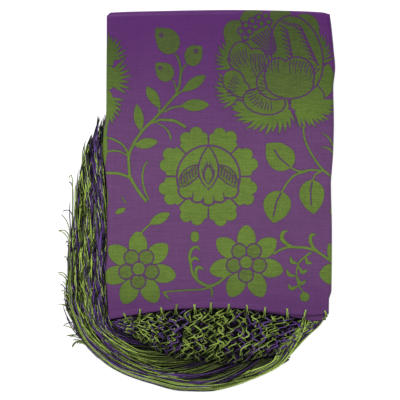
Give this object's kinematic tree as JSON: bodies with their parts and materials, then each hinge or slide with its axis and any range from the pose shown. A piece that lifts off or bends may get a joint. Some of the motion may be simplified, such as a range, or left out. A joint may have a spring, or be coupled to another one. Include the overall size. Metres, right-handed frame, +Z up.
{
  "type": "flamenco shawl",
  "caption": "Folded fringed shawl of satin jacquard lying flat, its knotted net along the hem and its loose strands swept up one side.",
  "frame": {"origin": "middle of the bounding box at the surface the folded shawl lies on", "axes": "+X to the right of the folded cloth, +Y from the fringed hem to the folded far edge, +Z up from the surface"},
  "size_m": [0.2158, 0.295, 0.0145],
  "materials": {
    "cloth": "satin jacquard, purple ground with green woven flowers",
    "fringe": "twisted rayon cord, green and purple"
  },
  "bodies": {
    "root": {"cloth_core": "cloth", "cloth_second_layer": "cloth", "cloth_top_layer": "cloth", "fringe_loop_01": "fringe", "fringe_loop_02": "fringe", "fringe_loop_03": "fringe", "fringe_loop_04": "fringe", "fringe_loop_05": "fringe", "fringe_loop_06": "fringe", "fringe_loop_07": "fringe", "fringe_loop_08": "fringe", "fringe_loop_09": "fringe", "fringe_loop_10": "fringe", "fringe_loop_11": "fringe", "fringe_loop_12": "fringe", "fringe_net_core": "fringe", "fringe_net_second": "fringe", "fringe_net_top": "fringe", "fringe_strands": "fringe"}
  },
  "joints": []
}
